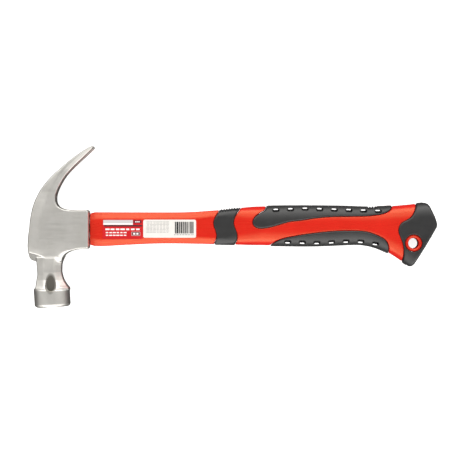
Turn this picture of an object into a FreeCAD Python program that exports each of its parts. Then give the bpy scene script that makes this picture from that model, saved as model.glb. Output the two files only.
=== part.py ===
"""One-piece-handle claw hammer: forged head, glass-fibre core, plastic jacket and rubber grips.

The hammer lies on its side.  X runs from the eye to the butt, Y from the striking face to the
claws, Z across the thickness.  Work is done about the eye's centre, and the finished pieces are
moved so that the origin is the middle of the bounding box, at the surface it lies on.
"""
import FreeCAD, Part
import math
import os
import Sketcher
from FreeCAD import Vector

doc = FreeCAD.newDocument("claw_hammer")

# ---------------------------------------------------------------- driving sizes, millimetres
SIZES = {
    # head, side view
    "overall_length": 329.6,      # back of the head to the butt
    "head_back": 20.5,            # eye axis to the back of the head
    "claw_reach": 33.2,           # eye axis to the claw tip
    "claw_rise": 67.1,            # handle axis to the claw tip
    "face_drop": 62.9,            # handle axis to the middle of the striking face
    "face_cant": 3.4,             # degrees
    "socket_reach": 29.1,         # eye axis to the end of the socket
    "socket_top": 15.0,
    "socket_bottom": 15.4,
    # head, thickness
    "cheek_width": 25.0,
    "claw_waist_width": 23.0,
    "claw_tip_width": 28.0,
    "poll_diameter": 29.2,
    "poll_length": 15.6,
    "poll_chamfer": 1.8,
    "neck_width": 19.4,
    "notch_length": 33.0,
    "notch_mouth": 10.0,
    "notch_root": 2.4,
    "claw_slope": 41.0,           # degrees, claw line above the handle axis
    # eye
    "core_height": 15.6,
    "core_width": 13.0,
    "core_rise": 0.6,             # core's axis above the handle axis
    "core_cover": 48.0,           # buried end of the core to the butt
    "epoxy_gap": 2.2,             # resin between eye and core
    "epoxy_back": 16.2,           # eye axis to the resin's open surface
    "seat_gap": 0.6,              # socket to jacket
    # handle
    "handle_width": 22.0,
    "grip_bevel": 4.6,
    "nose_length": 9.6,           # sloped facet at the jacket's front
    "nose_drop": 2.6,
    "butt_bevel": 2.0,
    "skin_depth": 1.6,            # rubber thickness on the faces
    "tang_wall_top": 3.6,         # plastic over the core inside the grips, claw side
    "tang_wall_bottom": 1.4,      # and face side
    "slot_length": 5.6,
    "slot_height": 2.8,
    "slot_pitch": 11.74,
    "back_slot_start": 129.9,     # butt to the first slot
    "back_slot_land": 2.1,        # rubber between the plastic and the slots
    "belly_slot_start": 120.4,
    "belly_slot_land": 0.4,
    "hang_from_butt": 19.4,
    "hang_drop": 11.4,
    "ring_radius": 6.9,
    "hang_radius": 4.2,
    "ring_sink": 0.8,
    # labels
    "label_thick": 0.12,
    "label_high": 7.5,            # labels' upper edge above the handle axis
    "front_label_low": 8.0,
    "code_label_low": 7.0,
    "label_gap": 0.5,
    "front_label_length": 32.0,
    "code_label_length": 42.4,
    "label_start": 10.5,          # jacket end to the first label
}
sheet = doc.addObject("Spreadsheet::Sheet", "sizes")
for row, (alias, number) in enumerate(SIZES.items(), start=1):
    sheet.set(f"A{row}", alias)
    sheet.set(f"B{row}", str(number))
    sheet.setAlias(f"B{row}", alias)
doc.recompute()


def size(alias):
    """A size as it now stands in the sheet."""
    return float(sheet.get(alias))


# ---------------------------------------------------------------- drawing helpers
HALF = "half"


def new_body(name):
    return doc.addObject("PartDesign::Body", name)


def new_sketch(body, name, plane="XY_Plane", offset=None):
    """A sketch on one of the body's own origin planes, moved along its normal by an expression."""
    sketch = body.newObject("Sketcher::SketchObject", name)
    support = next(item for item in body.Origin.OriginFeatures if item.Role == plane)
    sketch.AttachmentSupport = [(support, "")]
    sketch.MapMode = "FlatFace"
    if offset:
        sketch.setExpression("AttachmentOffset.Base.z", offset)
    return sketch


def draw_loop(sketch, corners):
    """Close a loop of lines and arcs through corners (x, y, bend), each an expression.

    bend is None for a straight run to the next corner, HALF for a left-turning half circle on an
    upright chord, or the arc's radius: positive when the run turns left, negative when it turns
    right.  Every corner is a driven constraint.
    """
    places = [Vector(float(sketch.evalExpression(x)), float(sketch.evalExpression(y)), 0)
              for x, y, bend in corners]
    runs = []
    for index, (x, y, bend) in enumerate(corners):
        start = places[index]
        stop = places[(index + 1) % len(corners)]
        if bend is None:
            run = sketch.addGeometry(Part.LineSegment(start, stop), False)
            runs.append((run, 1, 2))
            continue
        chord = stop - start
        turns_left = bend is HALF or bend > 0
        radius = chord.Length / 2 if bend is HALF else abs(bend)
        rise = math.sqrt(max(0, radius ** 2 - chord.Length ** 2 / 4)) * (1 if turns_left else -1)
        left = Vector(-chord.y, chord.x, 0).normalize()
        centre = (start + stop) * 0.5 + left * rise
        angles = [math.atan2(end.y - centre.y, end.x - centre.x) for end in (start, stop)]
        circle = Part.Circle(centre, Vector(0, 0, 1), radius)
        if not turns_left:
            angles.reverse()
        run = sketch.addGeometry(Part.ArcOfCircle(circle, *angles), False)
        runs.append((run, 1, 2) if turns_left else (run, 2, 1))
    for index, (x, y, bend) in enumerate(corners):
        run, first, last = runs[index]
        before, unused, before_last = runs[index - 1]
        sketch.addConstraint(Sketcher.Constraint("Coincident", before, before_last, run, first))
        for kind, place, formula in (("DistanceX", places[index].x, x), ("DistanceY", places[index].y, y)):
            held = sketch.addConstraint(Sketcher.Constraint(kind, -1, 1, run, first, place))
            sketch.setExpression(f"Constraints[{held}]", formula)
        if bend is HALF:
            held = sketch.addConstraint(Sketcher.Constraint("DistanceX", -1, 1, run, 3, places[index].x))
            sketch.setExpression(f"Constraints[{held}]", x)
        elif bend is not None:
            sketch.addConstraint(Sketcher.Constraint("Radius", run, abs(bend)))


def pad(body, sketch, length, both_ways=True):
    feature = body.newObject("PartDesign::Pad", sketch.Name + "_pad")
    feature.Profile = sketch
    feature.Midplane = both_ways
    feature.setExpression("Length", length)
    doc.recompute()
    return feature


def prism(name, corners, length, plane="XY_Plane"):
    """A body that is one loop padded both ways from its plane."""
    body = new_body(name)
    sketch = new_sketch(body, name + "_outline", plane)
    draw_loop(sketch, corners)
    pad(body, sketch, length)
    return body


def stadium(x, y, long, short):
    """Corners of a slot with round ends, long across the sketch's x."""
    reach = f"({long} - {short}) / 2"
    return [(f"{x} - {reach}", f"{y} - {short} / 2", None), (f"{x} + {reach}", f"{y} - {short} / 2", HALF),
            (f"{x} + {reach}", f"{y} + {short} / 2", None), (f"{x} - {reach}", f"{y} + {short} / 2", HALF)]


def combine(kind, name, *shapes):
    """A Part boolean: Part::Cut or Part::Common of two shapes, or Part::MultiFuse of several."""
    joined = doc.addObject(kind, name)
    if kind == "Part::MultiFuse":
        joined.Shapes = list(shapes)
    else:
        joined.Base, joined.Tool = shapes
    doc.recompute()
    return joined


def butt(distance):
    """An x expression counted back from the butt."""
    return f"sizes.overall_length - sizes.head_back - {distance}"


def along_butt(*points):
    """Corners whose x is counted back from the butt."""
    return [(butt(back), str(y), bend) for back, y, bend in points]


# Sections across the handle's axis: the core, and the eye that leaves room for resin round it.
CORE_SECTION = stadium("sizes.core_rise", "0", "sizes.core_height", "sizes.core_width")
EYE_SECTION = stadium("sizes.core_rise", "0", "(sizes.core_height + 2 * sizes.epoxy_gap)",
                      "(sizes.core_width + 2 * sizes.epoxy_gap)")

# ---------------------------------------------------------------- head
# Side view of claws, cheek and socket, from the claw tip round the inside of the claw, the
# socket and the neck's root, and back up the outside.
SOCKET_CORNER = 1.7
head_side = prism("head_side", [
    ("sizes.claw_reach", "sizes.claw_rise - 2.2", None),
    ("sizes.claw_reach - 1", "sizes.claw_rise", 126),
    ("0.2", "43.3", 59),
    ("-14", "23.8", 113),
    ("-sizes.head_back", "-16", 30),
    ("-19", "-23.6", None),
    ("-17.6", "-25.2", None),
    ("-13.4", "-26.4", None),
    ("7.6", "-26.4", -12),
    ("15", "-17", None),
    (f"sizes.socket_reach - {SOCKET_CORNER}", "-sizes.socket_bottom", SOCKET_CORNER),
    ("sizes.socket_reach", f"-sizes.socket_bottom + {SOCKET_CORNER}", None),
    ("sizes.socket_reach", f"sizes.socket_top - {SOCKET_CORNER}", SOCKET_CORNER),
    (f"sizes.socket_reach - {SOCKET_CORNER}", "sizes.socket_top", None),
    ("10.4", "sizes.socket_top", -6.8),
    ("3.7", "22", -40),
    ("12.2", "42.4", -234),
], "sizes.claw_tip_width + 10")

# Front view: the cheek narrows to the claws' waist and the claws spread again to their tips.
head_front = prism("head_front", [
    ("-30", "sizes.cheek_width / 2 - 2", None),
    ("-30", "2 - sizes.cheek_width / 2", None),
    ("-22", "-sizes.cheek_width / 2", None),
    ("14", "-sizes.cheek_width / 2", None),
    ("30", "-sizes.claw_waist_width / 2", None),
    ("sizes.claw_rise + 3", "-sizes.claw_tip_width / 2", None),
    ("sizes.claw_rise + 3", "sizes.claw_tip_width / 2", None),
    ("30", "sizes.claw_waist_width / 2", None),
    ("14", "sizes.cheek_width / 2", None),
    ("-22", "sizes.cheek_width / 2", None),
], "4 * sizes.claw_reach", "YZ_Plane")
head_blade = combine("Part::Common", "head_blade", head_side, head_front)

# Neck: an eight-sided loft whose axis leans with the canted face.
neck = new_body("neck")
neck_sections = []
for name, level, middle, half_x, half_z in (
        ("neck_root", "22", "-3.4", "11.4", "sizes.cheek_width / 2 - 1"),
        ("neck_waist", "34", "-3", "sizes.neck_width / 2", "sizes.neck_width / 2"),
        ("neck_low", "41", "-2.2", "sizes.neck_width / 2 + 1.2", "sizes.neck_width / 2 + 0.8"),
        ("neck_end", "sizes.face_drop - sizes.poll_length + 1", "-1.2",
         "sizes.poll_diameter / 2 - 1.4", "sizes.poll_diameter / 2 - 1.4")):
    section = new_sketch(neck, name, "XZ_Plane", level)
    flat = 0.45
    draw_loop(section, [(f"{middle} + {side} * ({half_x}) * {wide}", f"{end} * ({half_z}) * {tall}", None)
                        for side, wide, end, tall in (
                            (1, 1, -1, flat), (1, 1, 1, flat), (1, flat, 1, 1), (-1, flat, 1, 1),
                            (-1, 1, 1, flat), (-1, 1, -1, flat), (-1, flat, -1, 1), (1, flat, -1, 1))])
    neck_sections.append(section)
neck_loft = neck.newObject("PartDesign::AdditiveLoft", "neck_loft")
neck_loft.Profile = neck_sections[0]
neck_loft.Sections = neck_sections[1:]
neck_loft.Ruled = False

# Poll: turned about its own axis, then leant over by the face's cant.
poll = new_body("poll")
poll_half = new_sketch(poll, "poll_half")
draw_loop(poll_half, [
    ("0", "-sizes.face_drop", None),
    ("sizes.poll_diameter / 2 - sizes.poll_chamfer", "-sizes.face_drop", None),
    ("sizes.poll_diameter / 2", "-sizes.face_drop + sizes.poll_chamfer", None),
    ("sizes.poll_diameter / 2", "-sizes.face_drop + sizes.poll_length - 1.6", None),
    ("sizes.poll_diameter / 2 - 1.6", "-sizes.face_drop + sizes.poll_length", None),
    ("0", "-sizes.face_drop + sizes.poll_length", None),
])
poll_turn = poll.newObject("PartDesign::Revolution", "poll_turn")
poll_turn.Profile = poll_half
poll_turn.ReferenceAxis = (poll_half, ["V_Axis"])
poll_turn.Angle = 360
poll.setExpression("Placement.Rotation.Angle", "sizes.face_cant")
poll.setExpression("Placement.Base.x", "-0.6 - sizes.face_drop * sin(sizes.face_cant)")
head_solid = combine("Part::MultiFuse", "head_solid", head_blade, neck, poll)

# Eye: an oval hole right through the cheek and socket, as large as the core and its resin.
eye = prism("eye", EYE_SECTION, "4 * sizes.socket_reach", "YZ_Plane")
head_bored = combine("Part::Cut", "head_bored", head_solid, eye)

# Nail notch: a wedge with a round root, cut square to the line of the claws.
notch = prism("notch", [
    ("-sizes.notch_length + sizes.notch_root / 2", "-sizes.notch_root / 2", None),
    ("0", "-sizes.notch_mouth / 2", None),
    ("6", "-sizes.notch_mouth / 2 - 0.6", None),
    ("6", "sizes.notch_mouth / 2 + 0.6", None),
    ("0", "sizes.notch_mouth / 2", None),
    ("-sizes.notch_length + sizes.notch_root / 2", "sizes.notch_root / 2", HALF),
], "sizes.claw_reach", "XZ_Plane")
notch.setExpression("Placement.Rotation.Angle", "sizes.claw_slope")
notch.setExpression("Placement.Base.x", "sizes.claw_reach")
notch.setExpression("Placement.Base.y", "sizes.claw_rise")
hammer_head = combine("Part::Cut", "hammer_head", head_bored, notch)

# ---------------------------------------------------------------- core and resin
def bar(name, section, start, length):
    """A bar of a constant section along x from start."""
    body = new_body(name)
    sketch = new_sketch(body, name + "_section", "YZ_Plane", start)
    draw_loop(sketch, section)
    pad(body, sketch, length, both_ways=False)
    return body


# The core is placed with the finished pieces, so the resin and jacket are hollowed by a second bar
# of the same size that stays about the eye.
CORE_LENGTH = "sizes.overall_length - sizes.head_back - sizes.core_cover + sizes.epoxy_back"
fibreglass_core = bar("fibreglass_core", CORE_SECTION, "-sizes.epoxy_back", CORE_LENGTH)
core_space = bar("core_space", CORE_SECTION, "-sizes.epoxy_back", CORE_LENGTH)
resin_plug = bar("resin_plug", EYE_SECTION, "-sizes.epoxy_back",
                 "sizes.epoxy_back + sizes.socket_reach + sizes.seat_gap")
eye_epoxy = combine("Part::Cut", "eye_epoxy", resin_plug, core_space)

# ---------------------------------------------------------------- handle
# Side view from the head along the claw side to past the butt, and back along the belly.  Each
# height is how far the handle stands out past the core's side; the two long sides are bevelled.
JACKET_START = "sizes.socket_reach + sizes.seat_gap"
CORE_TOP = "(sizes.core_rise + sizes.core_height / 2)"
CORE_BOTTOM = "(sizes.core_rise - sizes.core_height / 2)"
TANG_TOP = f"({CORE_TOP} + sizes.tang_wall_top)"
TANG_BOTTOM = f"({CORE_BOTTOM} - sizes.tang_wall_bottom)"


def over_core(*points):
    """Corners on the claw side: x back from the butt, y out past the core."""
    return [(butt(back), f"{CORE_TOP} + {out}", bend) for back, out, bend in points]


def under_core(*points):
    """Corners on the face side: x back from the butt, y out past the core."""
    return [(butt(back), f"{CORE_BOTTOM} - {out}", bend) for back, out, bend in points]


def straight(*places):
    return [(back, out, None) for back, out in places]


handle_sides = prism("handle_sides", [
    (JACKET_START, f"{CORE_TOP} + 4", None),
    (f"{JACKET_START} + 3.7", f"{CORE_TOP} + 5.1", None),
    *over_core(*straight(
        (209, 5), (194, 5.5), (175, 6.9), (155, 9), (144, 9.9), (126, 10.5), (100, 10.5), (76, 10.2),
        (58, 9.6), (45, 10.1), (28, 11.2), (11.6, 12.9), (-9, 14.6))),
    *under_core(*straight(
        (-9, 50.8), (25.1, 22), (39, 12.8), (45, 9.8), (51, 7.7), (58, 6), (66, 5.4), (83, 6.1),
        (109, 6.7), (146, 6.1), (184, 4.9), (214, 4.45))),
    (f"{JACKET_START} + 3.7", f"{CORE_BOTTOM} - 6.4", None),
    (JACKET_START, f"{CORE_BOTTOM} - 5.4", None),
], "sizes.handle_width")


def bevel_rims(body, sized, chosen):
    """Chamfer the front and back rims of a flat body where chosen(box) says so."""
    before = body.Tip
    rims = [f"Edge{number}" for number, edge in enumerate(before.Shape.Edges, start=1)
            if edge.BoundBox.ZLength < 0.01 and chosen(edge.BoundBox)]
    bevel = body.newObject("PartDesign::Chamfer", body.Name + "_bevel")
    bevel.Base = (before, rims)
    bevel.setExpression("Size", sized)
    doc.recompute()


butt_x = size("overall_length") - size("head_back")
bevel_rims(handle_sides, "sizes.grip_bevel", lambda box: box.XLength > 0.1)

# The slanted butt, with its round corners and a smaller bevel, trims the sides.
butt_trim = prism("butt_trim", [
    ("0", f"{CORE_BOTTOM} - 62.8", None),
    *under_core((25.1, 62.8, None), (25.1, 22, 5.6), (17.6, 19.4, None), (1.1, -7, 7)),
    *over_core((1.1, -0.4, None), (5.7, 9.6, 6.5), *straight((11.6, 12.9), (11.6, 31.6))),
    ("0", f"{CORE_TOP} + 31.6", None),
], "sizes.handle_width")
trim_top, trim_bottom = [float(sheet.evalExpression(level))
                         for level in (f"{CORE_TOP} + 13", f"{CORE_BOTTOM} - 22.1")]
bevel_rims(butt_trim, "sizes.butt_bevel",
           lambda box: box.XMin > butt_x - 25.2 and trim_bottom < box.YMin and box.YMax < trim_top)
handle_trimmed = combine("Part::Common", "handle_trimmed", handle_sides, butt_trim)

# Nose: the front and back flats slope down to the socket.
HALF_WIDTH = "sizes.handle_width / 2"
nose_trim = prism("nose_trim", [
    (JACKET_START, f"sizes.nose_drop - {HALF_WIDTH}", None),
    (f"{JACKET_START} + sizes.nose_length", f"-{HALF_WIDTH}", None),
    (f"{JACKET_START} + sizes.nose_length", f"-{HALF_WIDTH} - 1", None),
    ("sizes.overall_length", f"-{HALF_WIDTH} - 1", None),
    ("sizes.overall_length", f"{HALF_WIDTH} + 1", None),
    (f"{JACKET_START} + sizes.nose_length", f"{HALF_WIDTH} + 1", None),
    (f"{JACKET_START} + sizes.nose_length", HALF_WIDTH, None),
    (JACKET_START, f"{HALF_WIDTH} - sizes.nose_drop", None),
], "8 * sizes.handle_width", "XZ_Plane")
handle_form = combine("Part::Common", "handle_form", handle_trimmed, nose_trim)

# Tang: the plastic that runs on inside the rubber, with a round boss for the hang hole.
tang = prism("tang", [
    (butt(192), TANG_BOTTOM, None), (butt(36), TANG_BOTTOM, None),
    *under_core((27, 10.8, None), (22, 10.8, None), (14, -5.2, None)),
    *over_core((12, -4.4, None), (20, 2.4, None)),
    (butt(30), TANG_TOP, None), (butt(192), TANG_TOP, None),
], "sizes.handle_width - 2 * sizes.skin_depth")
bevel_rims(tang, "sizes.grip_bevel", lambda box: box.XMax < butt_x - 30 and box.XLength > 100)


def upright_cylinder(name, radius, height):
    """A cylinder across the handle's thickness at the hang hole."""
    cylinder = doc.addObject("Part::Cylinder", name)
    cylinder.setExpression("Radius", radius)
    cylinder.setExpression("Height", height)
    cylinder.setExpression("Placement.Base.x", butt("sizes.hang_from_butt"))
    cylinder.setExpression("Placement.Base.y", "-sizes.hang_drop")
    cylinder.setExpression("Placement.Base.z", f"-({height}) / 2")
    return cylinder


boss = upright_cylinder("boss", "sizes.ring_radius", "sizes.handle_width - 2 * sizes.ring_sink")
ring_well = upright_cylinder("ring_well", "sizes.ring_radius", "sizes.handle_width + 10")
hang_hole = upright_cylinder("hang_hole", "sizes.hang_radius", "sizes.handle_width + 10")
inner_plastic = combine("Part::MultiFuse", "inner_plastic", tang, boss)

# Where each rubber piece lies, seen from the side.  The loops run past the handle's outline.
band_zone = prism("band_zone", along_butt(
    (175.6, 22, None), (175.6, 14.5, 15), (180, 5, 15), (178.7, 0, -12), (177.7, -5, -20),
    (179, -11, None), (179.6, -20, None), (163.6, -20, None), (162.8, -12.2, 14), (160.9, -5, 14),
    (162.5, 0.2, -14), (163.8, 5, -10), (161.3, 12.2, None), (157.4, 18.5, None), (157.4, 22, None),
), "sizes.handle_width + 10")
back_zone = prism("back_zone", along_butt(
    (137.8, 26, None), (137.9, 17.7, None), (139.5, 14.9, None), (146.5, 9.9, 7), (148.6, 5.1, 4.5),
    (146.1, 1.2, 8), (142.1, 0.5, 93), (119.1, 5.9, -300), (87.1, 9.8, None), (54.1, 10.6, 47),
    (40.6, 13.2, 7.6), (36.2, 18.6, None), (35.9, 26, None),
), "sizes.handle_width + 10")
belly_zone = prism("belly_zone", along_butt(
    (134.1, -20, None), (134.1, -12.9, -29), (125.1, -8.1, -264), (71.1, -1.35, -61),
    (57.1, -2.2, -53), (45.7, -6.5, -9), (39.1, -16.9, None), (39.1, -26, None),
), "sizes.handle_width + 10")
cap_zone = prism("cap_zone", along_butt(
    (17.3, 28, None), (17.3, 19.6, -14), (24.6, 7.3, None), (29.3, 4.6, 6), (31.5, -1, 16),
    (29.9, -6.6, None), (27.7, -13.5, -21), (28.7, -25.4, None), (31.1, -36, None),
    (-9, -36, None), (-9, 28, None),
), "sizes.handle_width + 10")


def slot_row(name, count, first, level):
    """A row of round-ended slots through the handle's thickness."""
    row = new_body(name)
    sketch = new_sketch(row, name + "_outline")
    for number in range(count):
        draw_loop(sketch, stadium(f"{butt(first)} + {number} * sizes.slot_pitch", level,
                                  "sizes.slot_length", "sizes.slot_height"))
    pad(row, sketch, "sizes.handle_width + 10")
    return row


back_slots = slot_row("back_slots", 8, "sizes.back_slot_start",
                      f"({TANG_TOP} + sizes.back_slot_land + sizes.slot_height / 2)")
belly_slots = slot_row("belly_slots", 7, "sizes.belly_slot_start",
                       f"({TANG_BOTTOM} - sizes.belly_slot_land - sizes.slot_height / 2)")


def rubber(name, zone, slots=None):
    """The handle's form inside a zone, less the plastic under it and any slots."""
    skin = combine("Part::Common", name + "_form", handle_form, zone)
    if slots:
        skin = combine("Part::Cut", name + "_slotted", skin, slots)
    return combine("Part::Cut", name, skin, inner_plastic)


thumb_band = rubber("thumb_band", band_zone)
back_grip = rubber("back_grip", back_zone, back_slots)
belly_grip = rubber("belly_grip", belly_zone, belly_slots)
butt_cap = rubber("butt_cap", cap_zone, ring_well)

bare_plastic = handle_form
for zone in (band_zone, back_zone, belly_zone, cap_zone):
    bare_plastic = combine("Part::Cut", "bare_of_" + zone.Name, bare_plastic, zone)
jacket_solid = combine("Part::MultiFuse", "jacket_solid", bare_plastic, inner_plastic)
jacket_hollow = combine("Part::Cut", "jacket_hollow", jacket_solid, core_space)
handle_jacket = combine("Part::Cut", "handle_jacket", jacket_hollow, hang_hole)


# ---------------------------------------------------------------- labels
def label(name, start, length, low, high):
    """A thin sticker on the handle's front flat."""
    body = new_body(name)
    sketch = new_sketch(body, name + "_outline", "XY_Plane", "sizes.handle_width / 2")
    left = f"{JACKET_START} + {start}"
    right = f"{left} + {length}"
    draw_loop(sketch, [(left, low, None), (right, low, None), (right, high, None), (left, high, None)])
    pad(body, sketch, "sizes.label_thick", both_ways=False)
    return body


front_label = label("front_label", "sizes.label_start", "sizes.front_label_length",
                    "-sizes.front_label_low", "sizes.label_high")
code_label = label("code_label", "sizes.label_start + sizes.front_label_length + sizes.label_gap",
                   "sizes.code_label_length", "-sizes.code_label_low", "sizes.label_high")

# ---------------------------------------------------------------- placing, checks and files
NODES = [hammer_head, fibreglass_core, eye_epoxy, handle_jacket, thumb_band, back_grip, belly_grip,
         butt_cap, front_label, code_label]
doc.recompute()
whole = FreeCAD.BoundBox()
for node in NODES:
    whole.add(node.Shape.BoundBox)
shift = Vector(-whole.Center.x, -whole.Center.y, -whole.ZMin)
for node in NODES:
    node.Label = node.Name
    node.Placement = FreeCAD.Placement(shift, FreeCAD.Rotation()).multiply(node.Placement)
doc.recompute()

for item in doc.Objects:
    if "Invalid" in item.State or "Error" in item.State:
        raise RuntimeError(f"{item.Name} did not build: {item.State}")
os.makedirs("parts", exist_ok=True)
for node in NODES:
    if node.Shape.isNull() or not node.Shape.isValid():
        raise RuntimeError(f"{node.Name} has no valid shape")
    node.Shape.exportStep(f"parts/{node.Label}.step")
    box = node.Shape.BoundBox
    print(f"{node.Label:16s} {len(node.Shape.Solids)} solid {node.Shape.Volume:9.0f} mm3  "
          f"x {box.XMin:7.1f} {box.XMax:7.1f}  y {box.YMin:6.1f} {box.YMax:6.1f}  "
          f"z {box.ZMin:5.1f} {box.ZMax:5.1f}")
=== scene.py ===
import math

import bpy
import numpy as np
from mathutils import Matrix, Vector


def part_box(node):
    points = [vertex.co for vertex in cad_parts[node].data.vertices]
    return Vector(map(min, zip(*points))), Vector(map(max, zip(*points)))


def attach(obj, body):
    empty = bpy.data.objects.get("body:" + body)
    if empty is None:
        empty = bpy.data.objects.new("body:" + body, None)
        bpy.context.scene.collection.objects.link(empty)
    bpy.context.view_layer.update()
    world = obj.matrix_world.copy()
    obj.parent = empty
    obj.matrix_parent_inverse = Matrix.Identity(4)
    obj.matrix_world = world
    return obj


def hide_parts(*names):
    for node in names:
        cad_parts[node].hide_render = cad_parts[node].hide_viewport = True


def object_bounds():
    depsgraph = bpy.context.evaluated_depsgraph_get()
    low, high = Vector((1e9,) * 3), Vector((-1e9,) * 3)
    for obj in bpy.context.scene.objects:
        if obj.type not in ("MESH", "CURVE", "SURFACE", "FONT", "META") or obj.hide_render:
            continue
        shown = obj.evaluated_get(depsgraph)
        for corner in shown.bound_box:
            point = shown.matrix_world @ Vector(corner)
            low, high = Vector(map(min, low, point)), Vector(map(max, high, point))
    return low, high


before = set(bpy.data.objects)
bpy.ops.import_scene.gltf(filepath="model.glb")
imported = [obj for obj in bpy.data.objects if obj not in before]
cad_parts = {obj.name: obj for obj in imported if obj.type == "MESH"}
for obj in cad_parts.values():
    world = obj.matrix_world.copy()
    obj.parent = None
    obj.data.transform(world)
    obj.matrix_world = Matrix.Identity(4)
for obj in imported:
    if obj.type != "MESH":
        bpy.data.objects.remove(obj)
cad_low, cad_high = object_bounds()

# ---- Glass-fibre core ----
# A pultruded rod of glass strands in resin runs from the eye into the grip.  Only its sawn end
# shows, in the back of the eye, a little below the steel.
MM = 0.001
CORE_BACK = 16.2                  # eye's middle to the sawn end, mm
CORE_HALF_HEIGHT = 7.8
CORE_HALF_WIDTH = 6.5
CORE_RISE = 0.6                   # core's axis above the handle's
core_low, core_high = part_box("fibreglass_core")
EYE = np.array([core_low.x / MM + CORE_BACK,
                (core_low.y + core_high.y) / 2 / MM - CORE_RISE,
                (core_low.z + core_high.z) / 2 / MM])


def linear(colour):
    """An sRGB hex colour as linear RGBA."""
    parts = [int(colour[i:i + 2], 16) / 255 for i in (0, 2, 4)]
    return [p / 12.92 if p <= 0.04045 else ((p + 0.055) / 1.055) ** 2.4 for p in parts] + [1.0]


def add_node(tree, kind, inputs=(), **settings):
    """A node with its settings, and each input given as a value or as another node's output."""
    made = tree.nodes.new(kind)
    for name, value in settings.items():
        setattr(made, name, value)
    for key, value in dict(inputs).items():
        if isinstance(value, bpy.types.NodeSocket):
            tree.links.new(value, made.inputs[key])
        else:
            made.inputs[key].default_value = value
    return made


def new_material(name, **constants):
    """A material with one Principled shader, and its constants set on the shader's own sockets."""
    material = bpy.data.materials.new(name)
    material.use_nodes = True
    shader = material.node_tree.nodes["Principled BSDF"]
    for key, value in constants.items():
        shader.inputs[key.replace("_", " ")].default_value = value
    return material, material.node_tree, shader


def ramp(tree, factor, *stops):
    """A colour ramp through (place, hex colour) stops."""
    made = add_node(tree, "ShaderNodeValToRGB", {"Fac": factor})
    elements = made.color_ramp.elements
    while len(elements) < len(stops):
        elements.new(0.5)
    for element, (place, colour) in zip(elements, stops):
        element.position = place
        element.color = linear(colour)
    return made.outputs["Color"]


def place_coordinates(tree, scale=(1, 1, 1), turn=(0, 0, 0)):
    """The piece's own place in metres, scaled and turned."""
    place = add_node(tree, "ShaderNodeTexCoord")
    return add_node(tree, "ShaderNodeMapping", {"Vector": place.outputs["Object"], "Scale": scale,
                                                "Rotation": turn}).outputs["Vector"]


def spread(tree, factor, low, high):
    """A factor from 0 to 1 spread between two values."""
    return add_node(tree, "ShaderNodeMapRange",
                    {"Value": factor, "To Min": low, "To Max": high}).outputs["Result"]


# Pultruded glass fibre, sawn: pale straw strands in darker resin, seen end on as fine specks.
glass_fibre, tree, shader = new_material("sawn_pultruded_glass_fibre", Specular_IOR_Level=0.4)
strands = add_node(tree, "ShaderNodeTexVoronoi", {"Vector": place_coordinates(tree),
                                                  "Scale": 1 / (0.7 * MM)})
tree.links.new(ramp(tree, strands.outputs["Distance"], (0.0, "efe2b4"), (0.6, "c9b67c"), (1.0, "8d7a4c")),
               shader.inputs["Base Color"])
tree.links.new(spread(tree, strands.outputs["Distance"], 0.45, 0.75), shader.inputs["Roughness"])
fibreglass_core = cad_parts["fibreglass_core"]
fibreglass_core.data.materials.clear()
fibreglass_core.data.materials.append(glass_fibre)


# ---- Hammer head ----
# One steel forging, ground satin: claws, cheek, socket, fluted neck and round poll.  Its skin is
# meshed from a rule for how far a point is from the steel, so that every facet meets the next in
# a small radius, as grinding leaves it.
EPOXY_GAP = 2.2                   # resin between core and eye
EYE_HALF_HEIGHT = CORE_HALF_HEIGHT + EPOXY_GAP
EYE_HALF_WIDTH = CORE_HALF_WIDTH + EPOXY_GAP


def smooth_run(points, per_gap=8):
    """Points along a smooth line through the given ones (a Catmull-Rom spline)."""
    points = np.array(points, float)
    ends = np.vstack([2 * points[0] - points[1], points, 2 * points[-1] - points[-2]])
    t = np.linspace(0, 1, per_gap, endpoint=False)[:, None]
    line = [0.5 * (2 * b + (c - a) * t + (2 * a - 5 * b + 4 * c - d) * t ** 2
                   + (3 * b - a - 3 * c + d) * t ** 3)
            for a, b, c, d in zip(ends, ends[1:], ends[2:], ends[3:])]
    return np.vstack(line + [points[-1:]])


def plan_distance(line, low, high, cell=0.4, closed=True):
    """A rule for the distance of (x, y) from a line in the plan, negative inside a closed one.

    It is worked out once on a table of cells and read from that table between them.
    """
    xs = np.arange(low[0], high[0] + cell, cell)
    ys = np.arange(low[1], high[1] + cell, cell)
    x, y = np.meshgrid(xs, ys, indexing="ij")
    nearest = np.full(x.shape, 1e9)
    inside = np.zeros(x.shape, bool)
    stops = np.roll(line, -1, axis=0) if closed else line[1:]
    for (ax, ay), (bx, by) in zip(line, stops):
        run = (bx - ax) ** 2 + (by - ay) ** 2
        if run < 1e-12:
            continue
        t = np.clip(((x - ax) * (bx - ax) + (y - ay) * (by - ay)) / run, 0, 1)
        nearest = np.minimum(nearest, (x - ax - t * (bx - ax)) ** 2 + (y - ay - t * (by - ay)) ** 2)
        if closed and ay != by:
            crosses = ((ay > y) != (by > y)) & (x < (bx - ax) * (y - ay) / (by - ay) + ax)
            inside ^= crosses
    table = np.sqrt(nearest) * np.where(inside, -1, 1)

    def distance(px, py):
        i = np.clip((px - xs[0]) / cell, 0, len(xs) - 1.001)
        j = np.clip((py - ys[0]) / cell, 0, len(ys) - 1.001)
        i0, j0 = i.astype(int), j.astype(int)
        u, v = i - i0, j - j0
        return ((table[i0, j0] * (1 - u) + table[i0 + 1, j0] * u) * (1 - v)
                + (table[i0, j0 + 1] * (1 - u) + table[i0 + 1, j0 + 1] * u) * v)
    return distance


def both(a, b, radius):
    """Inside both shapes, with the edge between them rounded."""
    overlap = np.maximum(radius - np.abs(a - b), 0) / radius
    return np.maximum(a, b) + overlap ** 2 * radius / 4


def either(a, b, radius):
    """Inside either shape, with the corner between them filleted."""
    return -both(-a, -b, radius)


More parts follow.
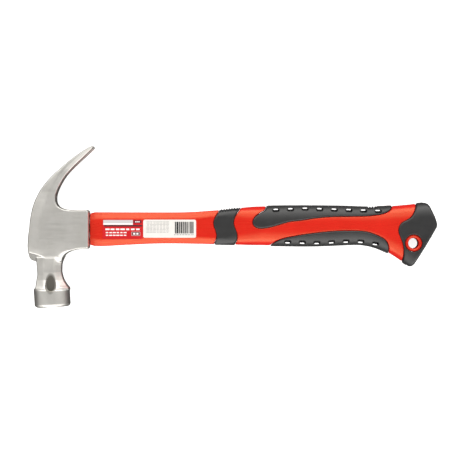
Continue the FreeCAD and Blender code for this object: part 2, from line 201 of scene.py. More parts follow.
def skin(name, rule, low, high, cell):
    """Mesh the surface where rule(x, y, z) is nought, in millimetres about the eye."""
    axes = [np.arange(a, b + cell, cell) for a, b in zip(low, high)]
    values = rule(*np.meshgrid(*axes, indexing="ij", sparse=True))
    values = np.broadcast_to(values, [len(axis) for axis in axes])
    inner = values < 0
    cells = [count - 1 for count in values.shape]
    total = np.prod(cells)
    sums = np.zeros((3, total))
    counts = np.zeros(total)
    quads = []
    for axis in range(3):
        first = [slice(None)] * 3
        second = [slice(None)] * 3
        first[axis], second[axis] = slice(None, -1), slice(1, None)
        i = np.argwhere(inner[tuple(first)] != inner[tuple(second)])
        a = values[tuple(i.T)]
        step = np.zeros(3, int)
        step[axis] = 1
        b = values[tuple((i + step).T)]
        point = i.astype(float)
        point[:, axis] += a / (a - b)
        across, up = [k for k in range(3) if k != axis]
        ring = []
        for shift_across, shift_up in ((1, 1), (0, 1), (0, 0), (1, 0)):
            owner = i.copy()
            owner[:, across] -= shift_across
            owner[:, up] -= shift_up
            number = np.ravel_multi_index(owner.T, cells)
            counts += np.bincount(number, minlength=total)
            for k in range(3):
                sums[k] += np.bincount(number, weights=point[:, k], minlength=total)
            ring.append(number)
        ring = np.stack(ring, axis=1)
        outward = (a < 0) != (axis == 1)
        quads.append(np.where(outward[:, None], ring, ring[:, ::-1]))
    quads = np.vstack(quads)
    used = np.flatnonzero(counts)
    lookup = np.zeros(total, int)
    lookup[used] = np.arange(len(used))
    places = (sums[:, used] / counts[used]).T * cell + np.array([axis[0] for axis in axes])

    def slope(p, reach=0.04):
        return np.stack([(rule(*(p + offset).T) - rule(*(p - offset).T)) / (2 * reach)
                         for offset in np.eye(3) * reach], axis=1)
    for attempt in range(3):
        gradient = slope(places)
        away = rule(*places.T) / np.maximum((gradient ** 2).sum(1), 0.05)
        places -= np.clip(away, -cell / 2, cell / 2)[:, None] * gradient
    normals = slope(places)
    normals /= np.linalg.norm(normals, axis=1)[:, None] + 1e-9
    mesh = bpy.data.meshes.new(name)
    mesh.from_pydata(((places + EYE) * MM).tolist(), [], lookup[quads].tolist())
    mesh.validate()
    mesh.polygons.foreach_set("use_smooth", [True] * len(mesh.polygons))
    mesh.normals_split_custom_set_from_vertices(normals.tolist())
    piece = bpy.data.objects.new(name, mesh)
    bpy.context.scene.collection.objects.link(piece)
    return piece


def dress(piece, material, slot, *nodes):
    """Give a piece its material, hang it from the root body and hide the CAD nodes it stands for; its slot
    is not used.
    """
    piece.data.materials.append(material)
    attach(piece, "root")
    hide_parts(*nodes)


CLAW_BACK = smooth_run([(32.5, 66.9), (28.5, 65.4), (18.2, 58.7), (7, 49.8), (-3, 40.4), (-10.2, 31.2),
                        (-15.6, 19.9), (-18.6, 6), (-20.1, -9), (-20.3, -16), (-19.2, -23.2)])
CLAW_INSIDE = smooth_run([(27.8, 15.4), (21, 15.4), (15.3, 15.3), (9.4, 16), (5.3, 17.8), (3.2, 20.4),
                          (2.5, 23.5), (2.8, 27.6), (4.9, 33.3), (8.8, 40.4), (13.8, 46.7), (22.2, 54.9),
                          (30.9, 63), (33, 65.2)])
HEAD_LINE = np.vstack([
    CLAW_BACK,
    smooth_run([(-17.8, -25), (-13, -26.4), (-4, -27), (5.5, -26.6)]),
    smooth_run([(7.4, -25.9), (8.7, -22.1), (11.6, -19.3), (15.5, -17.5), (21, -16.4), (28.2, -15.8)]),
    smooth_run([(29, -14.9), (29, 13.8)]),
    CLAW_INSIDE,
])
HEAD_LOW, HEAD_HIGH = (-24, -68, -17), (37, 71, 17)
head_outline = plan_distance(HEAD_LINE, HEAD_LOW, HEAD_HIGH)
claw_back = plan_distance(CLAW_BACK, HEAD_LOW, HEAD_HIGH, closed=False)
claw_inside = plan_distance(CLAW_INSIDE, HEAD_LOW, HEAD_HIGH, closed=False)
CLAW_SLOPE = math.radians(41)
TIP_X, TIP_Y = 33.2, 67.1         # claw tip
NOTCH_LENGTH, NOTCH_MOUTH, NOTCH_ROOT = 33.0, 10.0, 2.4
ROOT_FALL, ROOT_SLANT = 0.5, 1.12  # the facet at the neck's root: its fall, and length down it
RIM_SLOPE = math.radians(62)       # narrow steep bevel all round the blade
RIM_DROP = 1.3
FACE_CANT = math.radians(3.4)
FACE_DROP = 62.9
POLL_RADIUS = 14.6
POLL_LENGTH = 15.6
POLL_X = -0.6


def claws_and_cheek(x, y, z):
    """The forging's blade: cheek and claws, with facets along the back and at the neck's root."""
    width = np.interp(y, [10, 30, 48, 67], [12.5, 11.6, 12.2, 14.0]) - 0.0045 * np.maximum(-6 - y, 0) ** 2
    outline = head_outline(x, y)
    depth = np.abs(z)
    reach = np.interp(y, [-30, 24, 36, 45, 55, 65], [9.6, 9.4, 6.2, 3.8, 2.2, 1.3])
    fall = np.interp(y, [22, 46], [0.22, 0.30])
    back_facet = (depth - width + fall * np.maximum(reach - claw_back(x, y), 0)) / np.sqrt(1 + fall ** 2)
    fall = np.interp(y, [17, 32, 60], [0.0, 0.13, 0.2])
    inside_facet = (depth - width + fall * np.maximum(6 - claw_inside(x, y), 0)) / np.sqrt(1 + fall ** 2)
    reach = np.interp(x, [3, 18], [4.5, 0.0]) * (y < -12)
    root_facet = (depth - width + ROOT_FALL * np.maximum(reach + outline, 0)) / ROOT_SLANT
    facets = both(both(back_facet, inside_facet, 0.6), root_facet, 0.5)
    shoulder = (depth - width + 1.45 * (-17.4 - 0.42 * (x + 19) - y)) / 1.86
    rim = outline * math.sin(RIM_SLOPE) + (facets + RIM_DROP) * math.cos(RIM_SLOPE)
    shape = both(both(outline, both(facets, shoulder, 0.3), 0.4), rim, 0.3)
    along = (TIP_X - x) * math.cos(CLAW_SLOPE) + (TIP_Y - y) * math.sin(CLAW_SLOPE)
    mouth = (NOTCH_MOUTH - (NOTCH_MOUTH - NOTCH_ROOT) * along / NOTCH_LENGTH) / 2
    mouth = mouth + 0.5 * np.maximum(outline + 1.8, 0)
    notch = both(depth - mouth, along - NOTCH_LENGTH, 1.6)
    return both(shape, -notch, 0.9)


def neck_and_poll(x, y, z):
    """The eight-sided neck, scooped where it meets the round poll, and the poll itself."""
    left = np.interp(y, [-47.5, -41, -37, -33, -26, -20], [-14.3, -13.4, -12.7, -12.9, -13.5, -13.5])
    right = np.interp(y, [-47.5, -43.5, -41, -37.7, -34.2, -29.1, -25.9, -22],
                      [13, 10.3, 8.7, 7.5, 6.8, 6.9, 7.5, 9.4])
    deep = np.interp(y, [-49, -44, -41, -35, -30, -26, -21, -10],
                     [14.2, 12.2, 11.1, 10.2, 10.4, 10.8, 11.3, 11.0])
    across = (x - (left + right) / 2) / ((right - left) / 2)
    through = np.abs(z) / deep
    sides = both(np.abs(across), through, 0.12)
    neck = (both(sides, (0.7 * np.abs(across) + through) / 1.29, 0.08) - 1) * 9.5
    neck = both(neck, np.maximum(-48.5 - y, y + 10), 0.5)
    lean_x = (x - POLL_X) * math.cos(FACE_CANT) + (y + FACE_DROP) * math.sin(FACE_CANT)
    lean_y = (y + FACE_DROP) * math.cos(FACE_CANT) - (x - POLL_X) * math.sin(FACE_CANT)
    barrel = np.sqrt(lean_x ** 2 + z ** 2) - POLL_RADIUS
    length = np.maximum(-lean_y, lean_y - POLL_LENGTH)
    poll = both(barrel, length, 1.6)
    poll = both(poll, (barrel - lean_y + 1.7) / math.sqrt(2), 0.8)
    body = either(neck, poll, 1.8)
    scoop_y = np.clip(y, -46, -37)
    scoop = np.sqrt((x + 1.4) ** 2 + (y - scoop_y) ** 2) - np.interp(scoop_y, [-46, -37], [4.5, 2.5])
    scoop = both(scoop, np.interp(y, [-50, -38], [10.2, 10.3]) - np.abs(z), 0.8)
    return both(body, -scoop, 0.3)


def head_rule(x, y, z):
    steel = either(claws_and_cheek(x, y, z), neck_and_poll(x, y, z), 0.8)
    eye_hole = np.sqrt(np.maximum(np.abs(y - CORE_RISE) - (EYE_HALF_HEIGHT - EYE_HALF_WIDTH), 0) ** 2
                       + z ** 2) - EYE_HALF_WIDTH
    return both(steel, -eye_hole, 1.2)


# Forged steel, ground on a belt and oiled: bright satin grey with fine scratches a few tenths of
# a millimetre apart, drawn coarser here so that they show, and a soft mottle from the forging.
# Inside the neck's scoops the colour is painted a dark grey, as painted shade for those hollows.
SCOOP_MIDDLE = EYE + np.array([-1.6, -44.0, 0])
SCOOP_HALF_WIDTH = 4.4
SCOOP_HALF_LENGTH = 8.6
forged_steel, tree, shader = new_material("ground_forged_steel", Metallic=1.0)
scratch = add_node(tree, "ShaderNodeTexNoise", {"Vector": place_coordinates(tree, (60, 900, 900)),
                                                "Scale": 1.0, "Detail": 3.0})
mottle = add_node(tree, "ShaderNodeTexNoise", {"Vector": place_coordinates(tree), "Scale": 1 / (9 * MM),
                                               "Detail": 4.0})
ground = ramp(tree, mottle.outputs["Fac"], (0.3, "d6d4cf"), (0.7, "e0deda"))
where = add_node(tree, "ShaderNodeVectorMath", {0: place_coordinates(tree), 1: SCOOP_MIDDLE * MM},
                 operation="SUBTRACT")
shares = (1 / SCOOP_HALF_WIDTH / MM, 1 / SCOOP_HALF_LENGTH / MM, 0)
where = add_node(tree, "ShaderNodeVectorMath", {0: where.outputs[0], 1: shares}, operation="MULTIPLY")
away = add_node(tree, "ShaderNodeVectorMath", {0: where.outputs[0]}, operation="LENGTH")
# Painted shade: how far into the dark grey of the neck's scoops each point lies.
scoop_painted_shade = add_node(tree, "ShaderNodeMapRange", {"Value": away.outputs["Value"], "From Min": 0.7,
                                                  "From Max": 1.05, "To Min": 0.9, "To Max": 0.0})
steel_colour = add_node(tree, "ShaderNodeMix",
                        {0: scoop_painted_shade.outputs["Result"], 6: ground, 7: linear("6f6b62")}, data_type="RGBA")
tree.links.new(steel_colour.outputs[2], shader.inputs["Base Color"])
tree.links.new(spread(tree, scratch.outputs["Fac"], 0.34, 0.50), shader.inputs["Roughness"])
relief = add_node(tree, "ShaderNodeBump", {"Height": scratch.outputs["Fac"], "Strength": 0.12,
                                           "Distance": 0.05 * MM})
tree.links.new(relief.outputs["Normal"], shader.inputs["Normal"])
head = skin("forged_head", head_rule, HEAD_LOW, HEAD_HIGH, 0.55)
dress(head, forged_steel, "forged_steel", "hammer_head")


# ---- Resin in the eye ----
# Cast epoxy fills the eye round the core and squeezes out in a thin bead at the socket.  It is
# glossy and dark amber, with a slightly dished top where it shrank.
cast_epoxy, tree, shader = new_material("cast_amber_epoxy", Coat_Weight=0.5, Coat_Roughness=0.08)
cloud = add_node(tree, "ShaderNodeTexNoise", {"Vector": place_coordinates(tree), "Scale": 1 / (3 * MM)})
tree.links.new(ramp(tree, cloud.outputs["Fac"], (0.3, "2e2114"), (0.7, "4c3822")),
               shader.inputs["Base Color"])
tree.links.new(spread(tree, cloud.outputs["Fac"], 0.12, 0.3), shader.inputs["Roughness"])
eye_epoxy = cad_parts["eye_epoxy"]
eye_epoxy.data.materials.clear()
eye_epoxy.data.materials.append(cast_epoxy)


# ---- Handle jacket ----
# Red hard plastic moulded over the core: eight-sided near the head, with a sloped nose at the
# socket, and oval in the grip.  It runs on thinner inside the rubber, and its boss holds the
# hang hole, which shows as the red ring in the butt.
HALF_THICK = 11.0
BEVEL_SLOPE = math.radians(36)
NOSE_START, NOSE_END, NOSE_DROP = 29.7, 39.3, 2.6
NOSE_SLANT = 1.036                 # length down the nose's slope for each unit along it
HANG_X, HANG_Y = 289.7, -11.4
RING_RADIUS, HANG_RADIUS = 6.9, 4.2
BOSS_HALF_HEIGHT = 10.2
RUBBER_DEPTH = 1.6
HANDLE_LOW, HANDLE_HIGH = (9, -34, -13), (313, 25, 13)

CLAW_SIDE = [(33.4, 13.5), (60, 13.4), (100, 13.4), (115, 13.9), (125, 14.6), (134, 15.3), (144, 16.5),
             (154, 17.4), (163, 18.3), (173, 18.7), (190, 18.9), (207, 18.9), (231, 18.65), (250, 18),
             (260, 18.2), (271, 18.8), (281, 19.6), (298, 21.3), (318, 23.4)]
FACE_SIDE = [(318, -56), (298, -39.6), (284.4, -29.4), (278, -24.6), (272, -20.7), (266, -18), (260, -15.5),
             (255, -14), (250, -13.1), (243, -12.6), (226, -13.3), (207, -13.9), (182, -13.7), (163, -13.2),
             (144, -12.5), (125, -12.1), (100, -11.65), (81, -11.8), (57, -12.9), (41, -13.8),
             (33.4, -13.7)]
BUTT = [(296, 44), (297.4, 24), (299.6, 21.3), (302, 19.2), (304.2, 14.6), (306.9, 8.5), (308.1, 4.6),
        (308.1, 2.2), (306.9, -0.3), (299.2, -13.3), (291.3, -26), (289.6, -28.5), (287.9, -29.7),
        (286, -30), (284.3, -29.4), (281, -33), (281, -60)]
sides_line = np.vstack([[(10, -7.4), (10, 7)], smooth_run(CLAW_SIDE), smooth_run(FACE_SIDE)])
butt_line = np.vstack([smooth_run(BUTT), [(20, -60), (20, 44)]])
long_sides = plan_distance(sides_line, HANDLE_LOW, HANDLE_HIGH)
butt_end = plan_distance(butt_line, HANDLE_LOW, HANDLE_HIGH)


def handle_form(x, y, z):
    """The whole handle's outside, before it is parted into plastic and rubber."""
    depth = np.abs(z)
    thick = HALF_THICK - NOSE_DROP * np.clip((NOSE_END - x) / (NOSE_END - NOSE_START), 0, 2)
    round_over = np.interp(x, [112, 168], [1.3, 15.0])
    bevel = np.interp(x, [112, 168], [5.3, 3.0])
    side = long_sides(x, y)
    flat = (depth - thick) / np.where(x < NOSE_END, NOSE_SLANT, 1.0)
    corner = (depth - thick) * math.cos(BEVEL_SLOPE) + (side + bevel) * math.sin(BEVEL_SLOPE)
    form = both(both(side, flat, round_over), corner, 0.8)
    form = both(form, NOSE_START - x, 0.6)
    return both(form, butt_end(x, y), 2.4)


def zone(*runs):
    """The plan of one rubber piece, as smooth runs that meet at corners past the handle's edge."""
    return plan_distance(np.vstack([smooth_run(run) for run in runs]), HANDLE_LOW, HANDLE_HIGH)


band_zone = zone(
    [(133.8, 24), (133.4, 14.5), (131.5, 11.4), (129.8, 8), (129, 5), (129.4, 2.4), (130.5, -0.5),
     (131.3, -3.4), (131.4, -6.4), (130.8, -9), (129.7, -12), (129.3, -20)],
    [(146, -20), (146.4, -12.5), (147.6, -9.6), (148.2, -6.4), (147.9, -3.4), (146.6, 0), (145.6, 2.8),
     (145.3, 5.6), (146, 8.6), (147.8, 12.2), (150, 15.4), (151.4, 18), (151.8, 24)])
back_zone = zone(
    [(172.3, 26), (171.3, 17.8), (169.9, 15), (167.3, 13.3), (164.4, 11.4), (162.3, 9.5), (160.8, 7.2),
     (160.5, 5), (161.3, 2.9), (163.4, 1.2), (166.4, 0.5), (170, 0.7), (175, 1.5), (180, 2.9), (190, 5.8),
     (200, 7), (210, 8.6), (220, 9.6), (230, 10), (242, 10.1), (252, 10.4), (260, 11.2), (265, 12.1),
     (269.3, 13.8), (271.8, 16), (272.8, 18.6), (273.4, 26)])
belly_zone = zone(
    [(270.2, -26), (270, -17), (269.6, -13.4), (268.4, -10.4), (266.5, -8.3), (263.2, -6.3), (259, -4.4),
     (254, -2.7), (248, -1.7), (240, -1.4), (230, -1.5), (220, -2.2), (210, -3.3), (200, -4.7), (190, -6.5),
     (184, -7.9), (180, -9.5), (177.3, -11.1), (174.8, -13), (172.5, -16), (171, -24)])
cap_zone = zone(
    [(292.2, 28), (291.9, 19.6), (291.1, 15.8), (289.7, 12.4), (287.6, 9.4), (284.5, 7.3), (281.6, 5.9),
     (279.2, 4), (277.8, 1.1), (277.6, -2.1), (278.7, -5.5), (280.2, -9.3), (281.4, -13.5), (281.8, -17.3),
     (281.7, -21.1), (280.9, -24.9), (278.5, -34)],
    [(320, -34), (320, 28)])
tang_plan = plan_distance(np.array([(117, -8.6), (273, -8.6), (282, -18), (287, -18), (295, -2), (297, 4),
                                    (289, 10.8), (279, 12), (117, 12)], float), HANDLE_LOW, HANDLE_HIGH)


def boss(x, y, z):
    """The round boss at the hang hole."""
    away = np.sqrt((x - HANG_X) ** 2 + (y - HANG_Y) ** 2)
    return both(away - RING_RADIUS, np.abs(z) - BOSS_HALF_HEIGHT, 0.9)


def inner_plastic(x, y, z):
    """The plastic that runs on inside the rubber."""
    tang = both(tang_plan(x, y), handle_form(x, y, z) + RUBBER_DEPTH, 1.0)
    return np.minimum(tang, boss(x, y, z))


def jacket_rule(x, y, z):
    shape = handle_form(x, y, z)
    for rubber in (band_zone, back_zone, belly_zone, cap_zone):
        shape = both(shape, 0.06 - rubber(x, y), 1.0)
    shape = np.minimum(shape, inner_plastic(x, y, z) + 0.05)
    away = np.sqrt((x - HANG_X) ** 2 + (y - HANG_Y) ** 2)
    rim = np.maximum(np.abs(z) - 9.1, 0)
    return both(shape, HANG_RADIUS + rim - away, 0.6)


# Moulded polypropylene, semi-gloss: a deep orange-red right through, with the slight orange peel
# and soft mottle of a moulding, and fine rubs from handling.
moulded_red, tree, shader = new_material("moulded_red_polypropylene", IOR=1.49, Specular_IOR_Level=0.55,
                                         Specular_Tint=(1.0, 0.92, 0.42, 1))
mottle = add_node(tree, "ShaderNodeTexNoise", {"Vector": place_coordinates(tree), "Scale": 1 / (14 * MM),
                                               "Detail": 5.0})
tree.links.new(ramp(tree, mottle.outputs["Fac"], (0.35, "cb1813"), (0.65, "d21b16")),
               shader.inputs["Base Color"])
rubs = add_node(tree, "ShaderNodeTexNoise", {"Vector": place_coordinates(tree, (40, 400, 400)),
                                             "Scale": 1.0, "Detail": 4.0})
tree.links.new(spread(tree, rubs.outputs["Fac"], 0.22, 0.34), shader.inputs["Roughness"])
peel = add_node(tree, "ShaderNodeTexNoise", {"Vector": place_coordinates(tree), "Scale": 1 / (1.1 * MM)})
relief = add_node(tree, "ShaderNodeBump", {"Height": peel.outputs["Fac"], "Strength": 0.25,
                                           "Distance": 0.04 * MM})
tree.links.new(relief.outputs["Normal"], shader.inputs["Normal"])
jacket = skin("jacket_moulding", jacket_rule, (28, -34, -12.6), (305, 24, 12.6), 0.55)
dress(jacket, moulded_red, "red_plastic", "handle_jacket")


# ---- Thumb band ----
# A ring of black rubber moulded into a groove of the jacket ahead of the grip, with fine ribs
# across its claw side for the thumb.
RIB_PITCH = 2.1
RIB_DEPTH = 0.95
PROUD = 0.55                      # rubber stands this far out of the plastic
EDGE_WIDTH = 1.0                  # slope round each rubber piece
EDGE_SLOPE = math.radians(35)


def rubber_rule(plan, slots=None, ribs=None):
    """A rule for one rubber piece: the handle's form in its zone, less the plastic inside it."""
    def rule(x, y, z):
        shape = handle_form(x, y, z) - PROUD
        if ribs:
            near_edge = np.clip((long_sides(x, y) + 2.2) / 1.2, 0, 1) * (y > 0)
            along = np.clip((x - ribs[0]) / 1.5, 0, 1) * np.clip((ribs[1] - x) / 1.5, 0, 1)
            shape = shape + RIB_DEPTH * near_edge * along * np.cos(math.pi * x / RIB_PITCH) ** 2
        edge = shape * math.cos(EDGE_SLOPE) + (plan(x, y) + EDGE_WIDTH) * math.sin(EDGE_SLOPE)
        shape = both(both(shape, edge, 0.3), plan(x, y) + 0.06, 0.4)
        if slots:
            shape = both(shape, -slots(x, y, z), 0.5)
        return np.maximum(shape, 0.05 - inner_plastic(x, y, z))
    return rule


# Thermoplastic rubber, satin: near-black grey with a fine sparked texture from the mould and a
# faint bloom, so it never looks like hard plastic.
moulded_rubber, tree, shader = new_material("satin_black_thermoplastic_rubber", IOR=1.5,
                                            Specular_IOR_Level=0.52)
bloom = add_node(tree, "ShaderNodeTexNoise", {"Vector": place_coordinates(tree), "Scale": 1 / (8 * MM),
                                              "Detail": 5.0})
tree.links.new(ramp(tree, bloom.outputs["Fac"], (0.3, "1e1e1f"), (0.7, "272728")),
               shader.inputs["Base Color"])
grain = add_node(tree, "ShaderNodeTexNoise", {"Vector": place_coordinates(tree), "Scale": 1 / (0.6 * MM),
                                              "Detail": 2.0})
tree.links.new(spread(tree, grain.outputs["Fac"], 0.36, 0.52), shader.inputs["Roughness"])
relief = add_node(tree, "ShaderNodeBump", {"Height": grain.outputs["Fac"], "Strength": 0.5,
                                           "Distance": 0.05 * MM})
tree.links.new(relief.outputs["Normal"], shader.inputs["Normal"])
band = skin("thumb_band_rubber", rubber_rule(band_zone, ribs=(133.5, 151.5)),
            (127, -16, -12.6), (154, 20, 12.6), 0.4)
dress(band, moulded_rubber, "black_rubber", "thumb_band")


# ---- Back and belly grips ----
# Two rubber pads wrap the claw side and the face side of the grip and meet no other piece but
# the jacket.  Each has a row of round-ended slots right through its thick edge.
SLOT_PITCH = 11.74
SLOT_HALF_LENGTH, SLOT_RADIUS = 1.4, 1.4
SLOT_DRAFT = 0.95                 # how much narrower a slot is at the mould's parting plane


def slot_row(start, count, line, outward):
    """A rule for a row of slots whose middles follow a line, each drafted towards the middle plane."""
    starts = start + SLOT_PITCH * np.arange(count)
    places = list(zip(starts, np.interp(starts, *zip(*line))))
    leans = np.degrees(np.arctan(np.gradient([place[1] for place in places], SLOT_PITCH)))

    def rule(x, y, z):
        deep = np.clip(1 - np.abs(z) / 9, 0, 1)
        nearest = 1e3
        for (sx, sy), lean in zip(places, leans):
            c, s = math.cos(math.radians(lean)), math.sin(math.radians(lean))
            middle = sy + outward * 0.8 * SLOT_DRAFT * deep
            u = np.abs((x - sx) * c + (y - middle) * s)
            v = (y - middle) * c - (x - sx) * s
            away = np.sqrt(np.maximum(u - SLOT_HALF_LENGTH, 0) ** 2 + v ** 2) - SLOT_RADIUS
            nearest = np.minimum(nearest, away + SLOT_DRAFT * deep)
        return nearest
    return rule


back_slots = slot_row(179.2, 8, [(179, 15.1), (202, 16.1), (226, 15.3), (262, 14.2)], 1)
belly_slots = slot_row(188.7, 7, [(188, -10.4), (212, -11), (237, -9.8), (248, -10), (260, -11.9)], -1)
back_grip = skin("back_grip_rubber", rubber_rule(back_zone, back_slots, ribs=(252.5, 261)),
                 (158, -2, -12.6), (276, 21, 12.6), 0.42)
dress(back_grip, moulded_rubber, "black_rubber", "back_grip")
belly_grip = skin("belly_grip_rubber", rubber_rule(belly_zone, belly_slots),
                  (172, -23, -12.6), (273, 1, 12.6), 0.42)
dress(belly_grip, moulded_rubber, "black_rubber", "belly_grip")


# ---- Butt cap ----
# Black rubber moulded over the flared butt, which keeps the hand from slipping off.  It leaves a
# round well on each face for the jacket's boss.
def cap_rule(x, y, z):
    well = RING_RADIUS + 0.1 - np.sqrt((x - HANG_X) ** 2 + (y - HANG_Y) ** 2)
    return both(rubber_rule(cap_zone)(x, y, z), well, 0.8)


cap = skin("butt_cap_rubber", cap_rule, (275, -33, -12.6), (311.5, 24, 12.6), 0.42)
dress(cap, moulded_rubber, "black_rubber", "butt_cap")


# ---- Labels ----
# Two film stickers on the front flat: a printed red one by the head and a white one beside it.
# Their print is plain bars and dashes of ink that stand for the wording.
def sticker(name, node, corner, material, slot):
    """A thin sticker with round corners, as large as its CAD node."""
    low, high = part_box(node)
    mesh = bpy.data.meshes.new(name)
    left, right = low.x + corner, high.x - corner
    bottom, top = low.y + corner, high.y - corner
    ring = [(cx + corner * math.cos(a), cy + corner * math.sin(a))
            for quarter, (cx, cy) in enumerate(((right, top), (left, top), (left, bottom), (right, bottom)))
            for a in [math.pi / 2 * (quarter + step / 6) for step in range(7)]]
    count = len(ring)
    points = [(x, y, z) for z in (low.z, high.z) for x, y in ring]
    walls = [(n, (n + 1) % count, (n + 1) % count + count, n + count) for n in range(count)]
    mesh.from_pydata(points, [], walls + [tuple(range(count, 2 * count)), tuple(reversed(range(count)))])
    piece = bpy.data.objects.new(name, mesh)
    bpy.context.scene.collection.objects.link(piece)
    dress(piece, material, slot, node)
    return low, high


def varnish(tree, shader):
    """Satin varnish over print: the glue's faint ripple in its gloss and surface."""
    ripple = add_node(tree, "ShaderNodeTexNoise", {"Vector": place_coordinates(tree),
                                                   "Scale": 1 / (5 * MM)}).outputs["Fac"]
    tree.links.new(spread(tree, ripple, 0.35, 0.45), shader.inputs["Roughness"])
    relief = add_node(tree, "ShaderNodeBump", {"Height": ripple, "Strength": 0.15, "Distance": 0.05 * MM})
    tree.links.new(relief.outputs["Normal"], shader.inputs["Normal"])
    return ripple


def film(name, first, second):
    """Printed polypropylene film: nearly even colour under the varnish."""
    material, tree, shader = new_material(name, Specular_IOR_Level=0.4)
    ripple = varnish(tree, shader)
    tree.links.new(ramp(tree, ripple, (0.3, first), (0.7, second)), shader.inputs["Base Color"])
    return material


red_film = film("red_printed_film", "c2121a", "cb161c")
white_film = film("white_printed_film", "e2deda", "e9e6e2")
labels = {"red_label": sticker("red_sticker", "front_label", 1.2 * MM, red_film, "red_label"),
          "white_label": sticker("white_sticker", "code_label", 1.4 * MM, white_film, "white_label")}
INK_THICK = 0.02 * MM


def print_tree():
    """Geometry Nodes: a grid of flat marks of uneven width, as printing lays down."""
    tree = bpy.data.node_groups.new("printed_marks", "GeometryNodeTree")
    sockets = {}
    tree.interface.new_socket("Geometry", in_out="OUTPUT", socket_type="NodeSocketGeometry")
    for name, kind in (("Columns", "Int"), ("Rows", "Int"), ("Width", "Float"), ("Height", "Float"),
                       ("Mark height", "Float"), ("Least width", "Float"), ("Most width", "Float"),
                       ("Centre", "Vector"), ("Seed", "Int"), ("Ink", "Material")):
        made = tree.interface.new_socket(name, in_out="INPUT", socket_type="NodeSocket" + kind)
        sockets[name] = made.identifier
    given = tree.nodes.new("NodeGroupInput").outputs
    grid = add_node(tree, "GeometryNodeMeshGrid",
                    {"Vertices X": given["Columns"], "Vertices Y": given["Rows"],
                     "Size X": given["Width"], "Size Y": given["Height"]})
    mark = add_node(tree, "GeometryNodeMeshCube")
    width = add_node(tree, "FunctionNodeRandomValue", data_type="FLOAT")
    tree.links.new(given["Least width"], width.inputs[2])
    tree.links.new(given["Most width"], width.inputs[3])
    tree.links.new(given["Seed"], width.inputs["Seed"])
    scale = add_node(tree, "ShaderNodeCombineXYZ",
                     {"X": width.outputs[1], "Y": given["Mark height"], "Z": INK_THICK})
    marks = add_node(tree, "GeometryNodeInstanceOnPoints",
                     {"Points": grid.outputs["Mesh"], "Instance": mark.outputs["Mesh"],
                      "Scale": scale.outputs[0]})
    real = add_node(tree, "GeometryNodeRealizeInstances", {"Geometry": marks.outputs["Instances"]})
    moved = add_node(tree, "GeometryNodeTransform", {"Geometry": real.outputs["Geometry"],
                                                     "Translation": given["Centre"]})
    inked = add_node(tree, "GeometryNodeSetMaterial", {"Geometry": moved.outputs["Geometry"],
                                                       "Material": given["Ink"]})
    tree.links.new(inked.outputs["Geometry"], tree.nodes.new("NodeGroupOutput").inputs["Geometry"])
    return tree, sockets


printed_marks, mark_inputs = print_tree()


def ink(name, colour):
    """Printing ink: one flat colour under the film's varnish."""
    material, tree, shader = new_material(name, Base_Color=linear(colour), Specular_IOR_Level=0.4)
    varnish(tree, shader)
    return material


def print_marks(name, slot, across, up, columns, rows, mark_height, widths, material, seed, layer):
    """Marks on a label between across and up, each two shares of the label's length and height."""
    low, high = labels[slot]
    size_x, size_y = high.x - low.x, high.y - low.y
    base = bpy.data.objects.new(name, bpy.data.meshes.new(name))
    bpy.context.scene.collection.objects.link(base)
    maker = base.modifiers.new("printing", "NODES")
    maker.node_group = printed_marks
    values = {"Columns": columns, "Rows": rows, "Width": (across[1] - across[0]) * size_x,
              "Height": (up[1] - up[0]) * size_y, "Mark height": mark_height * MM,
              "Least width": widths[0] * MM, "Most width": widths[1] * MM, "Seed": seed, "Ink": material,
              "Centre": (low.x + sum(across) / 2 * size_x, low.y + sum(up) / 2 * size_y,
                         high.z + INK_THICK * (0.5 + layer))}
    for key, value in values.items():
        maker[mark_inputs[key]] = value
    seen = base.evaluated_get(bpy.context.evaluated_depsgraph_get())
    base_mesh = bpy.data.meshes.new_from_object(seen)
    base.modifiers.remove(maker)
    base.data = base_mesh
    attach(base, "root")


grey_ink = ink("grey_ink", "8f8f90")
pale_ink = ink("pale_grey_ink", "b4b2af")
black_ink = ink("black_ink", "262628")
white_ink = ink("white_ink", "f1efee")
maroon_ink = ink("maroon_ink", "6d1220")
silver_ink = ink("silver_ink", "c9c5c6")
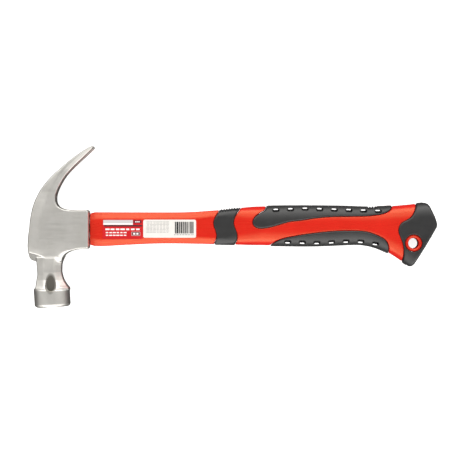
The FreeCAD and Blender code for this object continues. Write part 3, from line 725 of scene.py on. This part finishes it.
# Each run of marks: its name and label, where it lies across and up, columns, rows, the marks'
# height and least and most widths in millimetres, the ink, a seed, and the layers of ink under it.
PRINT = (
    ("fine_print", "white_label", (0.09, 0.46), (0.30, 0.88), 7, 9, 0.45, (1.4, 2.7), pale_ink, 3, 0),
    ("code_bars", "white_label", (0.61, 0.94), (0.56, 0.56), 10, 1, 9.4, (0.3, 1.5), black_ink, 5, 0),
    ("code_digits", "white_label", (0.59, 0.94), (0.17, 0.17), 13, 1, 0.8, (0.5, 0.8), grey_ink, 2, 0),
    ("silver_header", "red_label", (0.385, 0.385), (0.90, 0.90), 1, 1, 2.6, (23.8, 23.8), silver_ink, 1, 0),
    ("white_band", "red_label", (0.385, 0.385), (0.775, 0.775), 1, 1, 1.3, (23.8, 23.8), white_ink, 1, 0),
    ("dark_tab", "red_label", (0.87, 0.87), (0.89, 0.89), 1, 1, 2.4, (6.6, 6.6), maroon_ink, 1, 0),
    ("tab_mark", "red_label", (0.83, 0.91), (0.89, 0.89), 3, 1, 0.9, (0.8, 1.1), white_ink, 4, 1),
    ("dark_strip", "red_label", (0.51, 0.51), (0.68, 0.68), 1, 1, 1.1, (30.8, 30.8), black_ink, 1, 0),
    ("large_line", "red_label", (0.12, 0.88), (0.50, 0.50), 7, 1, 1.3, (2.4, 3.9), white_ink, 6, 0),
    ("small_lines", "red_label", (0.11, 0.56), (0.19, 0.33), 6, 2, 0.9, (1.7, 2.6), white_ink, 8, 0),
    ("badge_rim", "red_label", (0.83, 0.83), (0.27, 0.27), 1, 1, 3.2, (7.0, 7.0), pale_ink, 1, 0),
    ("badge", "red_label", (0.83, 0.83), (0.27, 0.27), 1, 1, 2.5, (6.3, 6.3), maroon_ink, 1, 1),
    ("badge_mark", "red_label", (0.79, 0.87), (0.27, 0.27), 2, 1, 1.4, (1.6, 1.9), white_ink, 9, 2),
)
for marks in PRINT:
    print_marks(*marks)


# ---- Studio ----
# A white table under a soft white tent that is brightest beyond the claws' side and the face's
# side and dim straight overhead, with a camera that looks down on the hammer from two metres up.
centre = (cad_low + cad_high) / 2

world = bpy.data.worlds.new("soft_tent")
world.use_nodes = True
tent = world.node_tree
look = tent.nodes.new("ShaderNodeTexCoord")
parts = add_node(tent, "ShaderNodeSeparateXYZ", {"Vector": look.outputs["Generated"]})


def panel(low_edge, high_edge, dim, bright, source):
    """How bright the tent is along one measure of the direction, with a soft edge."""
    step = tent.nodes.new("ShaderNodeMapRange")
    step.interpolation_type = "SMOOTHSTEP"
    tent.links.new(source, step.inputs["Value"])
    step.inputs["From Min"].default_value = low_edge
    step.inputs["From Max"].default_value = high_edge
    step.inputs["To Min"].default_value = dim
    step.inputs["To Max"].default_value = bright
    return step.outputs["Result"]


def worked_out(kind, *values):
    """One sum on the tent's brightness or direction."""
    return add_node(tent, "ShaderNodeMath", enumerate(values), operation=kind).outputs[0]


sideways = worked_out("ABSOLUTE", parts.outputs["Y"])
endways = worked_out("ABSOLUTE", parts.outputs["X"])
above = panel(-0.3, 0.06, 0.05, 1.0, parts.outputs["Z"])
glow = worked_out("ADD", panel(0.28, 0.62, 0.36, 2.1, sideways), panel(0.3, 0.8, 0.0, 0.22, endways))
glow = worked_out("ADD", glow, panel(0.8, 0.93, 0.0, 1.6, sideways))
tent.links.new(worked_out("MULTIPLY", glow, above), tent.nodes["Background"].inputs["Strength"])
tent.nodes["Background"].inputs["Color"].default_value = (1.0, 0.99, 0.965, 1)
bpy.context.scene.world = world

table_paint, tree, shader = new_material("white_table", Roughness=0.9, Emission_Strength=0.75)
shader.inputs["Base Color"].default_value = linear("f4f4f4")
shader.inputs["Emission Color"].default_value = linear("ffffff")
bpy.ops.mesh.primitive_plane_add(size=6, location=(centre.x, centre.y, cad_low.z))
floor = bpy.context.object
floor.name = "white_table"
floor.data.materials.append(table_paint)
floor.visible_glossy = False
floor.visible_diffuse = False
floor.visible_shadow = False

VIEW_WIDTH = 0.3694               # what the frame takes in, metres
VIEW_MIDDLE = 0.1415              # from the eye along the handle, metres
SENSOR = 36.0
camera = bpy.data.cameras.new("camera")
camera.sensor_width = SENSOR
camera.lens = 190.0
seat = bpy.data.objects.new("camera", camera)
seat.location = (EYE[0] * MM + VIEW_MIDDLE, EYE[1] * MM,
                 EYE[2] * MM + camera.lens / SENSOR * VIEW_WIDTH)
bpy.context.scene.collection.objects.link(seat)
bpy.context.scene.camera = seat
bpy.context.scene.view_settings.view_transform = "Standard"
